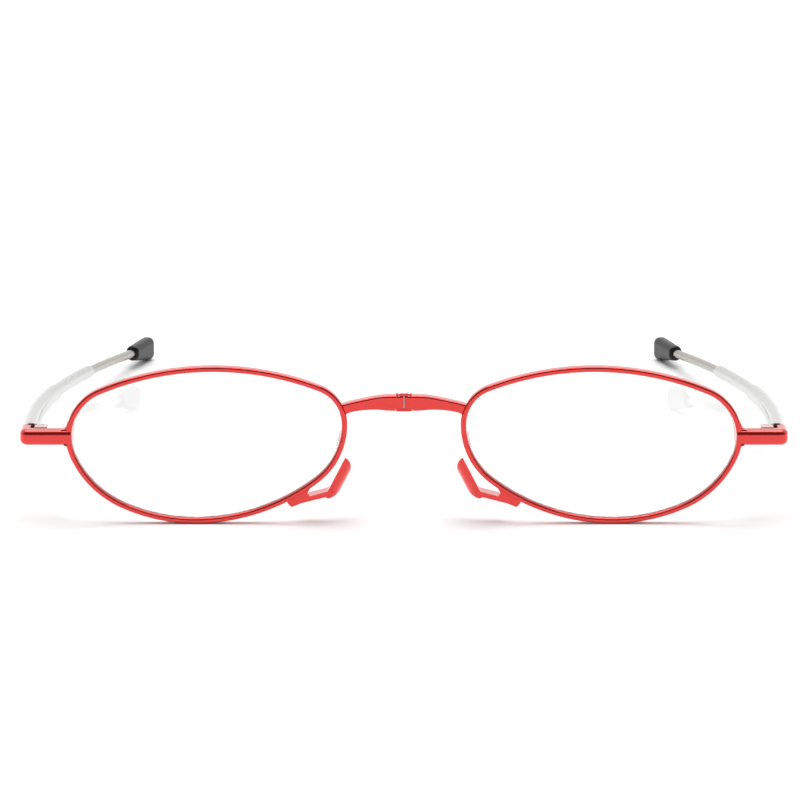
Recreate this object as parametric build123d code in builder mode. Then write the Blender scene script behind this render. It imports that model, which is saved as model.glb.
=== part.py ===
"""Folding reading glasses with telescopic temples and a folding bridge.

The glasses stand on a table as they are worn: the two rims and the two temple tips touch z = 0.
X runs across the front, the wearer looks along -Y, and +Z is up. The origin is on the table,
under the seam of the bridge. Pieces that come in pairs are modelled for the left half (negative X)
and mirrored across x = 0.
"""
import os
from math import asin, cos, degrees, radians, sin

from build123d import *

# ---------------------------------------------------------------- driving dimensions (mm)
# Fits: between pieces fixed to each other, between pieces that move, and the overlap of bodies
# that are joined or cut
SEAT = 0.01
RUNNING = 0.03
OVERLAP = 1.0

# Eyewires and lenses
RIM_FACE = 0.95
RIM_DEPTH = 1.7
RIM_ROUNDING = 0.36
GROOVE_DEPTH = 0.32
GROOVE_WIDTH = 0.6
SPLIT = 0.05
LENS_CLEARANCE = 0.03
LENS_CENTRE = (-32.9, 13.5)
LENS_FRONT_RADIUS = 620.0
LENS_FRONT_Y = -0.5
LENS_BACK_Y = 1.85
LENS_BEVEL = 0.25

# End pieces and temple hinges
HINGE_X = -60.6
HINGE_Y = 3.6
HINGE_Z = 14.85
END_HEIGHT = 2.7
END_FRONT_Y = -1.05
END_BACK_Y = 0.6
END_OUTER_X = -64.0
END_CORNER = 1.3
END_ROUNDING = 0.9
SIDE_LEG = 1.7
FLARE_FRONT_Y = -0.75
FLARE_X = -56.1
FLARE_ROOT = 0.3
FLARE_TOP = 1.1
FLARE_BOTTOM = 0.6
BUTT = -0.5
BUTT_GAP = 0.05
KNUCKLE_RADIUS = 1.1
KNUCKLE_STACK = 2.2
KNUCKLE_MIDDLE = 0.8
KNUCKLE_GAP = 0.04
KNUCKLE_SWEEP = 0.12
SCREW_RADIUS = 0.45
SCREW_HEAD_RADIUS = 0.75
SCREW_HEAD = 0.35
SCREW_SLOT = 0.2
RIM_SCREW_TURN = 20.0
HINGE_SCREW_TURN = 65.0
LEG_MARGIN = 0.25

# Closing blocks of the split eyewires
BLOCK_X = (-58.8, -55.5)
BLOCK_Y = (0.2, 2.2)
BLOCK_HEIGHT = 1.5
BLOCK_ROUNDING = 0.4
RIM_SCREW_X = -57.6
RIM_SCREW_Y = 1.3

# Bridge and its hinge: two pins close behind the front face
BRIDGE_FRONT_Y = -1.05
BRIDGE_DEPTH = 1.85
BRIDGE_TOP_Z = 22.1
BRIDGE_BOTTOM_Z = 19.45
BRIDGE_ROUNDING = 0.3
BRIDGE_REACH = 12.0
BRIDGE_LONG_EDGE = 5.0
SEAM = 0.03
PIN_X = 0.85
PIN_Y = -0.65
PIN_RADIUS = 0.3
PIN_HEAD_RADIUS = 0.42
PIN_HEAD = 0.12
LINK_WIDTH = 0.96
LINK_THICK = 0.36
LINK_ROUNDING = 0.1
LINK_GAP = 0.03
LINK_SLACK = 0.05

# Nose pieces: one strip each
STRIP = 0.55
STRIP_FRONT_Y = -0.5
STRIP_BACK_Y = 2.4
FOOT_BACK_Y = 0.6
PAD_TILT = 27.0
PAD_CURVE = 3.0
PAD_CURVE_CENTRE = (-0.9, 2.35)
PAD_DEPTH = 4.9
PAD_BULGE = 2.35
PAD_HALF_HEIGHT = 3.9
PAD_MIDDLE = -3.5
PAD_BOTTOM = 7.2

# Telescopic temples: all three stages lie on one arc and turn about its centre
TEMPLE_RADIUS = 294.0
TEMPLE_HEADING = 4.0
TEMPLE_OFFSET = -1.73
FITTING_RADIUS = 1.5
FITTING_END = 5.6
PLUG_END = 9.6
OUTER_RADIUS = 1.45
OUTER_BORE = 1.25
OUTER_END = 49.3
MIDDLE_RADIUS = 1.15
MIDDLE_NECK = 1.05
MIDDLE_BORE = 0.9
MIDDLE_END = 79.0
INNER_RADIUS = 0.8
INNER_NECK = 0.65
LIP = 1.5
BUSH = 5.0
TIP_START = 106.4
TIP_GRIP = 6.2
TIP_END = 115.4
TIP_FRONT_WIDTH = 2.5
TIP_FRONT_HEIGHT = 2.7
TIP_BACK_WIDTH = 2.7
TIP_BACK_HEIGHT = 4.4
TIP_CORNER = 1.15
TIP_ROUNDING = 0.9
TEMPLE_REACH = 111.6

# The eyewire's outer outline, seen from the front: tangent arcs, clockwise from its lowest point.
# Each is (turn in degrees, radius). The last two turns get the radii that close the outline.
OUTLINE_START = (-34.9, 0)
OUTLINE_ARCS = [(24, 29.6), (42, 17), (91, 9), (44.3, 49), (68, 7.05)]
CLOSING_TURNS = (53, 37.7)

# The arched edges of the bridge, from inside the rim to the seam, and how each sets off.
BRIDGE_TOP_EDGE = [(-11.6, 19.9), (-10.4, 20.5), (-8.0, 21.2), (-4.6, 21.9), (0, BRIDGE_TOP_Z)]
BRIDGE_TOP_HEADING = (1, 0.5)
BRIDGE_BOTTOM_EDGE = [(-10.3, 17.7), (-8.0, 19.4), (-4.6, 19.66), (0, BRIDGE_BOTTOM_Z)]
BRIDGE_BOTTOM_HEADING = (0.2, 1)

# The nose piece seen from the front: the foot under the rim and the arm to the elbow.
FOOT_OUTLINE = [
    (-19.5, 3.5),
    (-18.8, 2.8),
    (-16.6, 3.7),
    (-15.4, 4.0),
    (-16.1, 5.25),
    (-15.4, 6.6),
    (-19.3, 4.8),
]
ARM_OUTLINE = [
    (-17.2, 3.46),
    (-12.3, 4.72),
    (-11.8, 5.2),
    (-12.4, 5.8),
    (-12.8, 5.5),
    (-17.2, 4.3),
]
PAD_EDGE_TOP = (-10.0, 10.95)


# ---------------------------------------------------------------- shared geometry
def front_plane(y):
    """A plane that faces the front of the glasses, at depth y."""
    return Plane(origin=(0, y, 0), x_dir=(1, 0, 0), z_dir=(0, -1, 0))


def beside(turned):
    """The unit vector to the right of the outline, once it has turned by that many degrees."""
    return Vector(0, 1).rotate(Axis.Z, -turned)


def closing_radii():
    """The radii of the last two arcs, which bring the outline back to its start."""
    turned = 0
    gap = Vector(0, 0)
    for turn, radius in OUTLINE_ARCS:
        gap += (beside(turned) - beside(turned + turn)) * radius
        turned += turn
    first = beside(turned) - beside(turned + CLOSING_TURNS[0])
    second = beside(turned + CLOSING_TURNS[0]) - beside(turned + sum(CLOSING_TURNS))
    area = first.X * second.Y - first.Y * second.X
    return (
        (gap.Y * second.X - gap.X * second.Y) / area,
        (gap.X * first.Y - gap.Y * first.X) / area,
    )


def rim_area(y, inset=0.0):
    """The area within the eyewire's outline, drawn in by inset, at depth y."""
    with BuildSketch(front_plane(y)) as area:
        with BuildLine():
            start = Vector(OUTLINE_START[0], OUTLINE_START[1] + inset)
            heading = Vector(-1, 0)
            for turn, radius in OUTLINE_ARCS + list(zip(CLOSING_TURNS, closing_radii())):
                arc = JernArc(start, heading, radius - inset, -turn)
                start = arc @ 1
                heading = arc % 1
        make_face()
    return area.sketch


def closing_blocks():
    """The two closing blocks behind the end piece, before they are split apart."""
    with BuildPart() as blocks:
        with BuildSketch(Plane.XY.offset(HINGE_Z - BLOCK_HEIGHT / 2)):
            with Locations((sum(BLOCK_X) / 2, sum(BLOCK_Y) / 2)):
                Rectangle(BLOCK_X[1] - BLOCK_X[0], BLOCK_Y[1] - BLOCK_Y[0])
        extrude(amount=BLOCK_HEIGHT)
        fillet(blocks.edges().filter_by(Axis.Z).group_by(Axis.Y)[-1], BLOCK_ROUNDING)
    return blocks.part


# The temple lies in a plane that falls towards its tip, so that the tip reaches the table.
FALL = asin((HINGE_Z - TIP_BACK_HEIGHT / 2) / TEMPLE_REACH)
HEADING = radians(TEMPLE_HEADING)
TEMPLE_PLANE = Plane(
    origin=(HINGE_X, HINGE_Y, HINGE_Z),
    x_dir=(1, 0, 0),
    z_dir=(0, sin(FALL), cos(FALL)),
)
ARC_CENTRE = (
    TEMPLE_OFFSET + TEMPLE_RADIUS * cos(HEADING),
    BUTT + TEMPLE_RADIUS * sin(HEADING),
)
ARC_AXIS = Axis(TEMPLE_PLANE.from_local_coords((*ARC_CENTRE, 0)), -TEMPLE_PLANE.z_dir)


def station(s):
    """A plane across the temple, s along its arc from the butt face, with x up."""
    turn = radians(180) + HEADING - s / TEMPLE_RADIUS
    local = (
        ARC_CENTRE[0] + TEMPLE_RADIUS * cos(turn),
        ARC_CENTRE[1] + TEMPLE_RADIUS * sin(turn),
        0,
    )
    ahead = TEMPLE_PLANE.x_dir * sin(turn) - TEMPLE_PLANE.y_dir * cos(turn)
    return Plane(
        origin=TEMPLE_PLANE.from_local_coords(local),
        x_dir=TEMPLE_PLANE.z_dir,
        z_dir=ahead,
    )


def ring(start, end, outer, bore=0.0, mode=Mode.ADD):
    """A round bar or tube along the temple's arc, from start to end."""
    with BuildSketch(station(start)) as section:
        Circle(outer)
        if bore:
            Circle(bore, mode=Mode.SUBTRACT)
    turn = degrees((end - start) / TEMPLE_RADIUS)
    revolve(section.sketch, axis=ARC_AXIS, revolution_arc=turn, mode=mode)


def hinge_disc(radius, bottom, top, mode=Mode.ADD):
    """A disc about the temple hinge's axis."""
    with BuildSketch(TEMPLE_PLANE.offset(bottom)) as disc:
        Circle(radius)
    extrude(disc.sketch, amount=top - bottom, mode=mode)


def save(part, name):
    """Write one piece under its own name."""
    part.label = name
    export_step(part, f"parts/{name}.step")
    print(f"{name:24s} {part.volume:9.3f} mm3  {len(part.solids())} solid")


def save_pair(part, name):
    """Write the left piece and its mirror image on the right."""
    save(part, f"left_{name}")
    with BuildPart() as right:
        mirror(part, about=Plane.YZ)
    save(right.part, f"right_{name}")


os.makedirs("parts", exist_ok=True)

# ---------------------------------------------------------------- rim
# A round-edged ring with a groove for the lens. The closing blocks are one with it, and both are
# split at the height of the end piece.
with BuildPart() as wire:
    extrude(rim_area(RIM_DEPTH / 2), amount=RIM_DEPTH)
    extrude(rim_area(RIM_DEPTH / 2, RIM_FACE), amount=RIM_DEPTH, mode=Mode.SUBTRACT)
    fillet(wire.edges(), RIM_ROUNDING)

with BuildPart() as rim:
    add(wire.part)
    add(closing_blocks())
    extrude(
        rim_area(GROOVE_WIDTH / 2, RIM_FACE - GROOVE_DEPTH),
        amount=GROOVE_WIDTH,
        mode=Mode.SUBTRACT,
    )
    with Locations((sum(BLOCK_X) / 2, 0, HINGE_Z)):
        Box(2 * (BLOCK_X[1] - BLOCK_X[0]), 3 * BLOCK_Y[1], SPLIT, mode=Mode.SUBTRACT)
    with Locations((RIM_SCREW_X, RIM_SCREW_Y, HINGE_Z + BLOCK_HEIGHT / 2)):
        CounterBoreHole(
            radius=SCREW_RADIUS + SEAT,
            counter_bore_radius=SCREW_HEAD_RADIUS + RUNNING,
            counter_bore_depth=SCREW_HEAD,
        )
save_pair(rim.part, "rim")

# ---------------------------------------------------------------- lens
# Plano-convex, with a tongue ground round its edge for the groove.
with BuildPart() as lens:
    extrude(rim_area(LENS_BACK_Y, RIM_FACE + LENS_CLEARANCE), amount=LENS_BACK_Y - LENS_FRONT_Y)
    with Locations((LENS_CENTRE[0], LENS_FRONT_Y + LENS_FRONT_RADIUS, LENS_CENTRE[1])):
        Sphere(LENS_FRONT_RADIUS, mode=Mode.INTERSECT)
    chamfer(lens.faces().sort_by(Axis.Y)[-1].edges(), LENS_BEVEL)
    extrude(
        rim_area(GROOVE_WIDTH / 2 - LENS_CLEARANCE, RIM_FACE - GROOVE_DEPTH + LENS_CLEARANCE),
        amount=GROOVE_WIDTH - 2 * LENS_CLEARANCE,
    )
save_pair(lens.part, "lens")


# ---------------------------------------------------------------- screws
def slotted_screw(head_top, slot_angle, length):
    """A slotted cheese-head screw, the top of its head on the plane head_top."""
    with BuildPart() as screw:
        with BuildSketch(head_top):
            Circle(SCREW_HEAD_RADIUS)
        extrude(amount=-SCREW_HEAD)
        with BuildSketch(head_top):
            Circle(SCREW_RADIUS)
        extrude(amount=-length)
        with BuildSketch(head_top):
            Rectangle(2 * SCREW_HEAD_RADIUS, SCREW_SLOT, rotation=slot_angle)
        extrude(amount=-SCREW_HEAD / 2, mode=Mode.SUBTRACT)
    return screw.part


BLOCK_TOP = Plane(origin=(RIM_SCREW_X, RIM_SCREW_Y, HINGE_Z + BLOCK_HEIGHT / 2), z_dir=(0, 0, 1))
save_pair(slotted_screw(BLOCK_TOP, RIM_SCREW_TURN, BLOCK_HEIGHT), "rim_screw")
HINGE_TOP = TEMPLE_PLANE.offset(KNUCKLE_STACK / 2)
save_pair(slotted_screw(HINGE_TOP, HINGE_SCREW_TURN, KNUCKLE_STACK), "hinge_screw")

# ---------------------------------------------------------------- end piece
# A bar in front that blends into the rim, a leg that wraps back beside the temple, and the two
# outer knuckles of the hinge on a tab behind the bar.
END_BOTTOM_Z = HINGE_Z - END_HEIGHT / 2
END_TOP_Z = HINGE_Z + END_HEIGHT / 2


def on_the_outside(edge):
    """Whether an edge lies along the end piece's front or its outer side."""
    centre = edge.center()
    return centre.Y < END_FRONT_Y + OVERLAP / 2 or centre.X < END_OUTER_X + OVERLAP / 2


def flare(edge_z, up, radius):
    """A concave corner that blends the bar's edge into the rim."""
    with Locations((FLARE_X - radius, edge_z + up * radius / 2)):
        Rectangle(radius + FLARE_ROOT, radius, align=(Align.MIN, Align.CENTER))
    with Locations((FLARE_X - radius, edge_z + up * radius)):
        Circle(radius, mode=Mode.SUBTRACT)


with BuildPart() as end_piece:
    with BuildSketch(Plane.XY.offset(END_BOTTOM_Z)):
        with BuildLine():
            Polyline(
                (BLOCK_X[1], END_FRONT_Y),
                (END_OUTER_X, END_FRONT_Y),
                (END_OUTER_X, HINGE_Y),
                (END_OUTER_X + SIDE_LEG, HINGE_Y),
                (END_OUTER_X + SIDE_LEG, END_BACK_Y),
                (BLOCK_X[1], END_BACK_Y),
                close=True,
            )
        make_face()
    extrude(amount=END_HEIGHT)
    corners = end_piece.edges().filter_by(Axis.Z)
    fillet(corners.sort_by_distance((END_OUTER_X, END_FRONT_Y, HINGE_Z))[0], END_CORNER)
    fillet(end_piece.edges().group_by(Axis.Z)[-1].filter_by(on_the_outside), END_ROUNDING)
    fillet(end_piece.edges().group_by(Axis.Z)[0].filter_by(on_the_outside), END_ROUNDING)
    with BuildSketch(front_plane(END_BACK_Y)):
        flare(END_TOP_Z, 1, FLARE_TOP)
    extrude(amount=END_BACK_Y - FLARE_FRONT_Y)
    with BuildSketch(front_plane(END_BACK_Y)):
        flare(END_BOTTOM_Z, -1, FLARE_BOTTOM)
    extrude(amount=END_BACK_Y - FLARE_FRONT_Y)
    with BuildSketch(TEMPLE_PLANE.offset(-KNUCKLE_STACK / 2)):
        with Locations((0, (END_BACK_Y - HINGE_Y) / 2)):
            Rectangle(2 * KNUCKLE_RADIUS, HINGE_Y - END_BACK_Y)
        Circle(KNUCKLE_RADIUS)
    extrude(amount=KNUCKLE_STACK)
    hinge_disc(
        KNUCKLE_RADIUS + KNUCKLE_SWEEP,
        -KNUCKLE_MIDDLE / 2 - KNUCKLE_GAP,
        KNUCKLE_MIDDLE / 2 + KNUCKLE_GAP,
        mode=Mode.SUBTRACT,
    )
    hinge_disc(SCREW_RADIUS + SEAT, -KNUCKLE_STACK, KNUCKLE_STACK, mode=Mode.SUBTRACT)
    hinge_disc(
        SCREW_HEAD_RADIUS + SEAT,
        KNUCKLE_STACK / 2 - SCREW_HEAD,
        KNUCKLE_STACK,
        mode=Mode.SUBTRACT,
    )
    with BuildSketch(TEMPLE_PLANE.offset(-END_HEIGHT)):
        with Locations((END_OUTER_X - HINGE_X + SIDE_LEG / 2, BUTT - BUTT_GAP)):
            Rectangle(
                SIDE_LEG + 2 * LEG_MARGIN,
                2 * KNUCKLE_RADIUS,
                align=(Align.CENTER, Align.MIN),
            )
    extrude(amount=2 * END_HEIGHT, mode=Mode.SUBTRACT)
    extrude(rim_area(RIM_DEPTH), amount=RIM_DEPTH, mode=Mode.SUBTRACT)
    extrude(rim_area(RIM_DEPTH, RIM_FACE), amount=RIM_DEPTH * 2, mode=Mode.SUBTRACT)
    add(wire.part, mode=Mode.SUBTRACT)
    add(closing_blocks(), mode=Mode.SUBTRACT)
save_pair(end_piece.part, "end_piece")

# ---------------------------------------------------------------- nose piece
# Foot and arm are one strip under the rim, and the pad is the same strip turned up into a curved,
# D-shaped leaf that leans with the side of the nose.
LEAN = radians(PAD_TILT)
PAD_PLANE = Plane(
    origin=(PAD_EDGE_TOP[0], 0, PAD_EDGE_TOP[1]),
    x_dir=(cos(LEAN), 0, -sin(LEAN)),
    z_dir=(sin(LEAN), 0, cos(LEAN)),
)
PAD_SIDE = Plane(origin=PAD_PLANE.origin, x_dir=(0, 1, 0), z_dir=PAD_PLANE.x_dir)
PAD_FRONT = Plane(origin=PAD_PLANE.origin, x_dir=PAD_PLANE.x_dir, z_dir=(0, -1, 0))
with BuildPart() as leaf:
    with BuildSketch(PAD_PLANE.offset(-PAD_BOTTOM)):
        with Locations(PAD_CURVE_CENTRE):
            Circle(PAD_CURVE)
            Circle(PAD_CURVE - STRIP, mode=Mode.SUBTRACT)
        with Locations((PAD_CURVE / 2, STRIP_FRONT_Y + PAD_DEPTH / 2)):
            Rectangle(PAD_CURVE, PAD_DEPTH, mode=Mode.INTERSECT)
    extrude(amount=2 * PAD_HALF_HEIGHT)
    with BuildSketch(PAD_SIDE.offset(-PAD_DEPTH)):
        with Locations((STRIP_FRONT_Y, PAD_MIDDLE)):
            Ellipse(PAD_DEPTH, PAD_HALF_HEIGHT)
    extrude(amount=2 * PAD_DEPTH, mode=Mode.INTERSECT)
    with BuildSketch(PAD_FRONT.offset(-STRIP_FRONT_Y)):
        with Locations((0, PAD_MIDDLE)):
            Ellipse(PAD_BULGE, PAD_HALF_HEIGHT)
    extrude(amount=-2 * PAD_DEPTH, mode=Mode.INTERSECT)

with BuildPart() as nose_piece:
    with BuildSketch(front_plane(FOOT_BACK_Y)):
        with BuildLine():
            Polyline(*FOOT_OUTLINE, close=True)
        make_face()
    extrude(amount=FOOT_BACK_Y - STRIP_FRONT_Y)
    with BuildSketch(front_plane(STRIP_BACK_Y)):
        with BuildLine():
            Polyline(*ARM_OUTLINE, close=True)
        make_face()
    extrude(amount=STRIP_BACK_Y - STRIP_FRONT_Y)
    add(leaf.part)
    extrude(rim_area(RIM_DEPTH * 2), amount=RIM_DEPTH * 4, mode=Mode.SUBTRACT)
save_pair(nose_piece.part, "nose_piece")

# ---------------------------------------------------------------- bridge half
# An arched bar that ends in a rounded knuckle round its pin in front and a flat stop behind.
LINK_TOP_Z = BRIDGE_TOP_Z + LINK_GAP + LINK_THICK

with BuildPart() as bridge_half:
    with BuildSketch(front_plane(BRIDGE_FRONT_Y + BRIDGE_DEPTH)):
        with BuildLine():
            top = Spline(*BRIDGE_TOP_EDGE, tangents=(BRIDGE_TOP_HEADING, (1, 0)))
            bottom = Spline(*BRIDGE_BOTTOM_EDGE, tangents=(BRIDGE_BOTTOM_HEADING, (1, 0)))
            Line(top @ 1, bottom @ 1)
            Line(top @ 0, bottom @ 0)
        make_face()
    extrude(amount=BRIDGE_DEPTH)
    long_edges = bridge_half.edges().filter_by(lambda edge: edge.length > BRIDGE_LONG_EDGE)
    fillet(long_edges, BRIDGE_ROUNDING)
    with BuildSketch(Plane.XY):
        with Locations((-PIN_X, 0)):
            Rectangle(BRIDGE_REACH, 4 * BRIDGE_DEPTH, align=(Align.MAX, Align.CENTER))
        with Locations((-PIN_X, PIN_Y)):
            Circle(PIN_X - SEAM)
        with Locations((-PIN_X, PIN_Y)):
            Rectangle(PIN_X - SEAM, 2 * BRIDGE_DEPTH, align=(Align.MIN, Align.MIN))
    extrude(amount=2 * BRIDGE_TOP_Z, mode=Mode.INTERSECT)
    with Locations((0, 0, BRIDGE_BOTTOM_Z)):
        Box(
            2 * (PIN_X + LINK_WIDTH / 2 + LINK_SLACK),
            2 * BRIDGE_DEPTH,
            2 * (LINK_THICK + LINK_GAP),
            mode=Mode.SUBTRACT,
        )
    with Locations((-PIN_X, PIN_Y, LINK_TOP_Z)):
        Hole(PIN_RADIUS + RUNNING)
    extrude(rim_area(RIM_DEPTH), amount=RIM_DEPTH * 2, mode=Mode.SUBTRACT)
save_pair(bridge_half.part, "bridge_half")


# ---------------------------------------------------------------- bridge link and pins
def link_plate(bottom_z):
    """A round-ended plate with a hole for each pin."""
    with BuildPart() as plate:
        with BuildSketch(Plane.XY.offset(bottom_z)):
            with Locations((0, PIN_Y)):
                SlotCenterToCenter(2 * PIN_X, LINK_WIDTH)
            with Locations((-PIN_X, PIN_Y), (PIN_X, PIN_Y)):
                Circle(PIN_RADIUS + SEAT, mode=Mode.SUBTRACT)
        extrude(amount=LINK_THICK)
    return plate.part


with BuildPart() as upper_link:
    add(link_plate(BRIDGE_TOP_Z + LINK_GAP))
    fillet(upper_link.faces().sort_by(Axis.Z)[-1].outer_wire().edges(), LINK_ROUNDING)
save(upper_link.part, "upper_link")
save(link_plate(BRIDGE_BOTTOM_Z), "lower_link")

with BuildPart() as bridge_pin:
    with BuildSketch(Plane.XY.offset(BRIDGE_BOTTOM_Z)):
        with Locations((-PIN_X, PIN_Y)):
            Circle(PIN_RADIUS)
    extrude(amount=LINK_TOP_Z - BRIDGE_BOTTOM_Z)
    with BuildSketch(Plane.XY.offset(LINK_TOP_Z)):
        with Locations((-PIN_X, PIN_Y)):
            Circle(PIN_HEAD_RADIUS)
    extrude(amount=PIN_HEAD)
    chamfer(bridge_pin.edges().group_by(Axis.Z)[-1], PIN_HEAD / 2)
save_pair(bridge_pin.part, "bridge_pin")

# ---------------------------------------------------------------- temple fitting
# A short round bar with the middle knuckle of the hinge in front and a plug for the tube behind.
with BuildPart() as temple_fitting:
    ring(-OVERLAP, FITTING_END, FITTING_RADIUS)
    with BuildSketch(TEMPLE_PLANE.offset(-END_HEIGHT)):
        with Locations((TEMPLE_OFFSET, BUTT)):
            Rectangle(
                2 * (FITTING_RADIUS + OVERLAP),
                2 * OVERLAP,
                align=(Align.CENTER, Align.MAX),
            )
    extrude(amount=2 * END_HEIGHT, mode=Mode.SUBTRACT)
    hinge_disc(KNUCKLE_RADIUS, -KNUCKLE_MIDDLE / 2, KNUCKLE_MIDDLE / 2)
    for bottom in (KNUCKLE_MIDDLE / 2, -KNUCKLE_MIDDLE / 2 - KNUCKLE_STACK):
        hinge_disc(
            KNUCKLE_RADIUS + KNUCKLE_SWEEP, bottom, bottom + KNUCKLE_STACK, mode=Mode.SUBTRACT
        )
    hinge_disc(SCREW_RADIUS + RUNNING, -KNUCKLE_STACK, KNUCKLE_STACK, mode=Mode.SUBTRACT)
    ring(FITTING_END - OVERLAP, PLUG_END, OUTER_BORE - SEAT)
save_pair(temple_fitting.part, "temple_fitting")


# ---------------------------------------------------------------- telescopic tubes
def tube(start, end, outer, bore, lip_bore):
    """A tube along the temple's arc whose rear mouth is drawn in to a lip."""
    ring(start, end, outer)
    ring(start - OVERLAP, end - LIP, bore, mode=Mode.SUBTRACT)
    ring(end - LIP - OVERLAP, end + OVERLAP, lip_bore, mode=Mode.SUBTRACT)


MIDDLE_START = OUTER_END - LIP - BUSH - SEAT
INNER_START = MIDDLE_END - LIP - BUSH - SEAT

with BuildPart() as outer_tube:
    tube(FITTING_END + SEAT, OUTER_END, OUTER_RADIUS, OUTER_BORE, MIDDLE_RADIUS + RUNNING)
save_pair(outer_tube.part, "outer_tube")

with BuildPart() as middle_tube:
    tube(MIDDLE_START, MIDDLE_END, MIDDLE_RADIUS, MIDDLE_BORE, INNER_RADIUS + RUNNING)
    ring(MIDDLE_START, MIDDLE_START + BUSH, 2 * MIDDLE_RADIUS, MIDDLE_NECK, mode=Mode.SUBTRACT)
save_pair(middle_tube.part, "middle_tube")

with BuildPart() as middle_bush:
    ring(MIDDLE_START, MIDDLE_START + BUSH, OUTER_BORE - RUNNING, MIDDLE_NECK + SEAT)
save_pair(middle_bush.part, "middle_bush")

with BuildPart() as inner_rod:
    ring(INNER_START, TIP_START + TIP_GRIP, INNER_RADIUS)
    ring(INNER_START, INNER_START + BUSH, 2 * INNER_RADIUS, INNER_NECK, mode=Mode.SUBTRACT)
save_pair(inner_rod.part, "inner_rod")

with BuildPart() as inner_bush:
    ring(INNER_START, INNER_START + BUSH, MIDDLE_BORE - RUNNING, INNER_NECK + SEAT)
save_pair(inner_bush.part, "inner_bush")

# ---------------------------------------------------------------- temple tip
# A soft cover that flares from the rod to its blunt end.
with BuildPart() as temple_tip:
    with BuildSketch(station(TIP_START)):
        RectangleRounded(TIP_FRONT_HEIGHT, TIP_FRONT_WIDTH, TIP_CORNER)
    with BuildSketch(station(TIP_END)):
        RectangleRounded(TIP_BACK_HEIGHT, TIP_BACK_WIDTH, TIP_CORNER)
    loft()
    back = temple_tip.faces().sort_by_distance(station(TIP_END).origin)[0]
    fillet(back.edges(), TIP_ROUNDING)
    front = temple_tip.faces().sort_by_distance(station(TIP_START).origin)[0]
    fillet(front.edges(), TIP_ROUNDING / 2)
    ring(TIP_START - OVERLAP, TIP_START + TIP_GRIP, INNER_RADIUS + SEAT, mode=Mode.SUBTRACT)
save_pair(temple_tip.part, "temple_tip")
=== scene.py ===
"""Folding reading glasses on a white table: materials, studio and camera round the frame."""
import math

import bpy
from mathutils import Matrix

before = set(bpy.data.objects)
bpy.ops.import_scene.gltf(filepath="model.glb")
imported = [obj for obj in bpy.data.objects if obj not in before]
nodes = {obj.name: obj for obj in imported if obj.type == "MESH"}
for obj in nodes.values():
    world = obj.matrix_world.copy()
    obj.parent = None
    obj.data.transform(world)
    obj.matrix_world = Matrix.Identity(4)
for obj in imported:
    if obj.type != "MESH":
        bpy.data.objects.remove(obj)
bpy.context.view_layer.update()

# Part of a noise pattern's range that carries its variation
NOISE_LOW, NOISE_HIGH = 0.3, 0.7

# Table, in metres
FLOOR_HALF = 4.0
FLOOR_DROP = 0.00002

# Grey of the surroundings by the height of the direction, from the table to straight up
TENT = [(0.0, 1.0), (0.85, 1.0), (0.93, 1.3)]
OPENING = [(0.0, 1.0), (0.03, 0.12), (0.84, 0.16), (0.93, 1.3)]
# How far the opening reaches round, as Y of the direction: fully open, fully closed
OPENING_EDGE = (-0.42, -0.22)

# Key lamp: place, target, width and depth in metres, power in watts
KEY_PLACE = (0.0, 0.1, 1.0)
KEY_TARGET = (0, 0.03, 0)
KEY_SIZE = (0.9, 0.7)
KEY_POWER = 6.5

# Camera: place in metres, angle below the horizon in degrees, lens and sensor in millimetres
EYE = (0, -0.8952, 0.2466)
LOOK_DOWN = 14.135
FOCAL_LENGTH = 249.7
SENSOR_WIDTH = 36.0
SHIFT_X = -0.005


# ---------------------------------------------------------------- node helpers
def new_material(name):
    """A material with only a Principled shader, and its tree's nodes and links."""
    material = bpy.data.materials.new(name)
    material.use_nodes = True
    tree = material.node_tree
    return material, tree, tree.nodes["Principled BSDF"]


def noise(tree, scale, stretch=(1, 1, 1), detail=3.0):
    """A noise pattern fixed to the piece, scale per metre, and stretched along its axes."""
    place = tree.nodes.new("ShaderNodeTexCoord")
    mapping = tree.nodes.new("ShaderNodeMapping")
    mapping.inputs["Scale"].default_value = stretch
    texture = tree.nodes.new("ShaderNodeTexNoise")
    texture.inputs["Scale"].default_value = scale
    texture.inputs["Detail"].default_value = detail
    tree.links.new(place.outputs["Object"], mapping.inputs["Vector"])
    tree.links.new(mapping.outputs["Vector"], texture.inputs["Vector"])
    return texture.outputs["Fac"]


def spread(tree, source, low, high):
    """The source's middle range, spread from low to high."""
    ranged = tree.nodes.new("ShaderNodeMapRange")
    ranged.inputs["From Min"].default_value = NOISE_LOW
    ranged.inputs["From Max"].default_value = NOISE_HIGH
    ranged.inputs["To Min"].default_value = low
    ranged.inputs["To Max"].default_value = high
    tree.links.new(source, ranged.inputs["Value"])
    return ranged.outputs["Result"]


def tint(tree, source, low, high):
    """A colour between low and high, by the source."""
    ramp = tree.nodes.new("ShaderNodeValToRGB")
    ramp.color_ramp.elements[0].position = NOISE_LOW
    ramp.color_ramp.elements[0].color = (*low, 1)
    ramp.color_ramp.elements[1].position = NOISE_HIGH
    ramp.color_ramp.elements[1].color = (*high, 1)
    tree.links.new(source, ramp.inputs["Fac"])
    return ramp.outputs["Color"]


def bump(tree, shader, source, depth, socket="Normal"):
    """Height from the source, depth in metres."""
    node = tree.nodes.new("ShaderNodeBump")
    node.inputs["Distance"].default_value = depth
    tree.links.new(source, node.inputs["Height"])
    tree.links.new(node.outputs["Normal"], shader.inputs[socket])


def set_values(shader, **values):
    """Constants on the shader's own sockets, named with _ for a space."""
    for name, value in values.items():
        shader.inputs[name.replace("_", " ")].default_value = value


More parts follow.
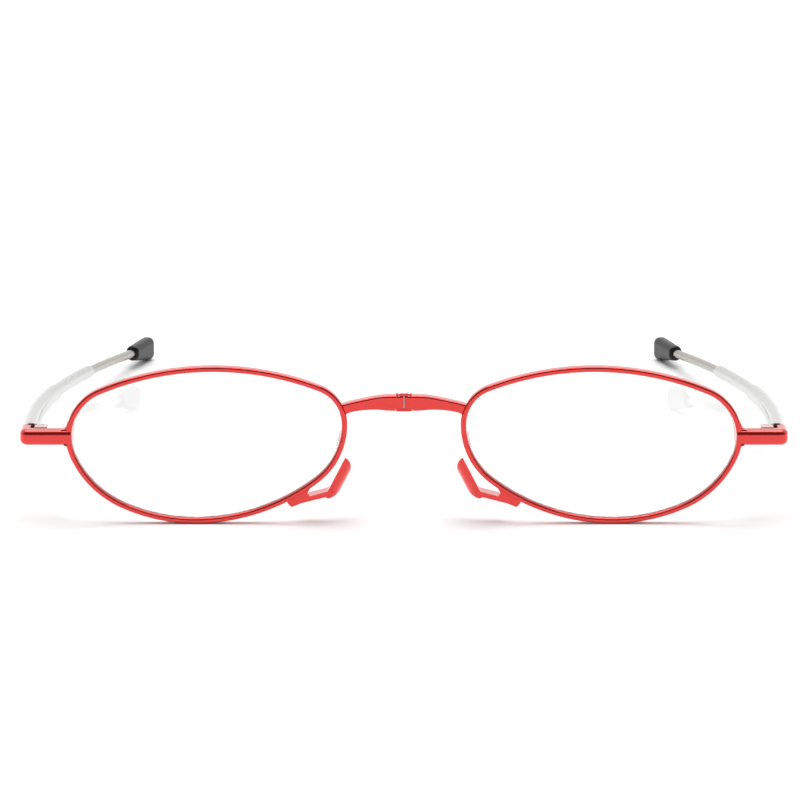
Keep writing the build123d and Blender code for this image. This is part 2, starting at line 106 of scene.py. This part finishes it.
# ---------------------------------------------------------------- materials
def red_lacquer():
    """Clear-coated candy red over bright metal, with a fine sparkle and a hint of orange peel."""
    material, tree, shader = new_material("red_lacquer")
    set_values(shader, Metallic=1.0, Coat_Weight=1.0, Coat_Roughness=0.05, Coat_IOR=1.5)
    grain = noise(tree, 9000)
    colour = tint(tree, grain, (0.66, 0.022, 0.018), (0.78, 0.034, 0.028))
    tree.links.new(colour, shader.inputs["Base Color"])
    tree.links.new(spread(tree, grain, 0.16, 0.26), shader.inputs["Roughness"])
    bump(tree, shader, noise(tree, 700, detail=1.0), 0.00001, "Coat Normal")
    return material


def polished_steel(name, low, high, rough, stretch=(1, 0.02, 1)):
    """Drawn and polished steel, with faint lines along the tube."""
    material, tree, shader = new_material(name)
    set_values(shader, Metallic=1.0)
    lines = noise(tree, 6000, stretch)
    colour = tint(tree, lines, low, high)
    tree.links.new(colour, shader.inputs["Base Color"])
    tree.links.new(spread(tree, lines, rough[0], rough[1]), shader.inputs["Roughness"])
    bump(tree, shader, lines, 0.000002)
    return material


def tip_rubber():
    """Dark, smooth moulded rubber."""
    material, tree, shader = new_material("tip_rubber")
    set_values(shader, Coat_Weight=0.15, Coat_Roughness=0.1, Specular_IOR_Level=0.25)
    grain = noise(tree, 5000)
    colour = tint(tree, grain, (0.006, 0.006, 0.007), (0.011, 0.011, 0.012))
    tree.links.new(colour, shader.inputs["Base Color"])
    tree.links.new(spread(tree, grain, 0.3, 0.42), shader.inputs["Roughness"])
    bump(tree, shader, grain, 0.000006)
    return material


def nylon():
    """Natural nylon."""
    material, tree, shader = new_material("bush_nylon")
    grain = noise(tree, 4000)
    colour = tint(tree, grain, (0.75, 0.74, 0.69), (0.82, 0.81, 0.77))
    tree.links.new(colour, shader.inputs["Base Color"])
    tree.links.new(spread(tree, grain, 0.4, 0.55), shader.inputs["Roughness"])
    return material


def lens_glass():
    """Half-clear lens glass that lets the lamps' light through to the table."""
    material, tree, shader = new_material("lens_clear")
    set_values(shader, Transmission_Weight=1.0, IOR=1.5, Alpha=0.5)
    set_values(shader, Base_Color=(0.985, 0.992, 0.988, 1))
    haze = noise(tree, 400)
    tree.links.new(spread(tree, haze, 0.0, 0.012), shader.inputs["Roughness"])
    path = tree.nodes.new("ShaderNodeLightPath")
    clear = tree.nodes.new("ShaderNodeBsdfTransparent")
    clear.inputs["Color"].default_value = (0.96, 0.96, 0.96, 1)
    mix = tree.nodes.new("ShaderNodeMixShader")
    tree.links.new(path.outputs["Is Shadow Ray"], mix.inputs["Fac"])
    tree.links.new(shader.outputs["BSDF"], mix.inputs[1])
    tree.links.new(clear.outputs["BSDF"], mix.inputs[2])
    tree.links.new(mix.outputs["Shader"], tree.nodes["Material Output"].inputs["Surface"])
    return material


RED = red_lacquer()
STEEL = polished_steel("temple_steel", (0.52, 0.52, 0.505), (0.64, 0.64, 0.625), (0.12, 0.24))
ROD = polished_steel("rod_steel", (0.34, 0.32, 0.285), (0.48, 0.46, 0.415), (0.14, 0.26))
SCREW = polished_steel(
    "screw_steel", (0.62, 0.61, 0.6), (0.76, 0.75, 0.74), (0.22, 0.36), (1, 1, 1)
)
GLASS = lens_glass()
RUBBER = tip_rubber()
NYLON = nylon()

FINISHES = {
    "rim": RED,
    "end_piece": RED,
    "nose_piece": RED,
    "bridge_half": RED,
    "link": RED,
    "bridge_pin": SCREW,
    "screw": SCREW,
    "lens": GLASS,
    "temple_fitting": STEEL,
    "outer_tube": STEEL,
    "middle_tube": STEEL,
    "inner_rod": ROD,
    "bush": NYLON,
    "temple_tip": RUBBER,
}

for name, node in nodes.items():
    finish = next(FINISHES[part] for part in FINISHES if name.endswith(part))
    for slot in node.material_slots:
        slot.material = finish


# ---------------------------------------------------------------- studio
def white_floor():
    """A large white table top."""
    mesh = bpy.data.meshes.new("floor")
    corners = [
        (x * FLOOR_HALF, y * FLOOR_HALF, 0) for x, y in ((-1, -1), (1, -1), (1, 1), (-1, 1))
    ]
    mesh.from_pydata(corners, [], [(0, 1, 2, 3)])
    floor = bpy.data.objects.new("floor", mesh)
    floor.location.z = -FLOOR_DROP
    bpy.context.scene.collection.objects.link(floor)
    material, tree, shader = new_material("floor_white")
    set_values(shader, Specular_IOR_Level=0.25)
    grain = noise(tree, 300)
    colour = tint(tree, grain, (0.9, 0.9, 0.9), (0.91, 0.91, 0.91))
    tree.links.new(colour, shader.inputs["Base Color"])
    tree.links.new(spread(tree, grain, 0.5, 0.6), shader.inputs["Roughness"])
    mesh.materials.append(material)


def ramp_of(tree, source, stops):
    """A grey ramp over the source, from (position, grey) stops."""
    ramp = tree.nodes.new("ShaderNodeValToRGB")
    elements = ramp.color_ramp.elements
    while len(elements) < len(stops):
        elements.new(0.5)
    for element, (position, grey) in zip(elements, stops):
        element.position = position
        element.color = (grey, grey, grey, 1)
    tree.links.new(source, ramp.inputs["Fac"])
    return ramp.outputs["Color"]


def studio_world():
    """A white tent, open and dark towards the camera from the table up to its white top."""
    world = bpy.data.worlds.new("studio")
    bpy.context.scene.world = world
    world.use_nodes = True
    tree = world.node_tree
    background = tree.nodes["Background"]
    place = tree.nodes.new("ShaderNodeTexCoord")
    parts = tree.nodes.new("ShaderNodeSeparateXYZ")
    tree.links.new(place.outputs["Generated"], parts.inputs["Vector"])
    tent = ramp_of(tree, parts.outputs["Z"], TENT)
    opening = ramp_of(tree, parts.outputs["Z"], OPENING)
    side = tree.nodes.new("ShaderNodeMapRange")
    side.inputs["From Min"].default_value = OPENING_EDGE[0]
    side.inputs["From Max"].default_value = OPENING_EDGE[1]
    tree.links.new(parts.outputs["Y"], side.inputs["Value"])
    mix = tree.nodes.new("ShaderNodeMix")
    mix.data_type = "RGBA"
    tree.links.new(side.outputs["Result"], mix.inputs[0])
    tree.links.new(opening, mix.inputs[6])
    tree.links.new(tent, mix.inputs[7])
    tree.links.new(mix.outputs[2], background.inputs["Color"])
    background.inputs["Strength"].default_value = 1.0


def softbox(name, place, target, size, power):
    """A rectangular lamp that faces the target."""
    lamp = bpy.data.lights.new(name, "AREA")
    lamp.shape = "RECTANGLE"
    lamp.size, lamp.size_y = size
    lamp.energy = power
    box = bpy.data.objects.new(name, lamp)
    bpy.context.scene.collection.objects.link(box)
    box.location = place
    ahead = [t - p for t, p in zip(target, place)]
    level = math.hypot(ahead[0], ahead[1])
    box.rotation_euler = (math.atan2(level, -ahead[2]), 0, math.atan2(-ahead[0], ahead[1]))


def photo_camera():
    """Eye a little above the frame, straight in front."""
    data = bpy.data.cameras.new("camera")
    data.lens = FOCAL_LENGTH
    data.sensor_width = SENSOR_WIDTH
    data.shift_x = SHIFT_X
    camera = bpy.data.objects.new("camera", data)
    bpy.context.scene.collection.objects.link(camera)
    camera.location = EYE
    camera.rotation_euler = (math.radians(90 - LOOK_DOWN), 0, 0)
    bpy.context.scene.camera = camera


white_floor()
studio_world()
softbox("key", KEY_PLACE, KEY_TARGET, KEY_SIZE, KEY_POWER)
photo_camera()
bpy.context.scene.view_settings.view_transform = "Standard"

bpy.context.view_layer.update()
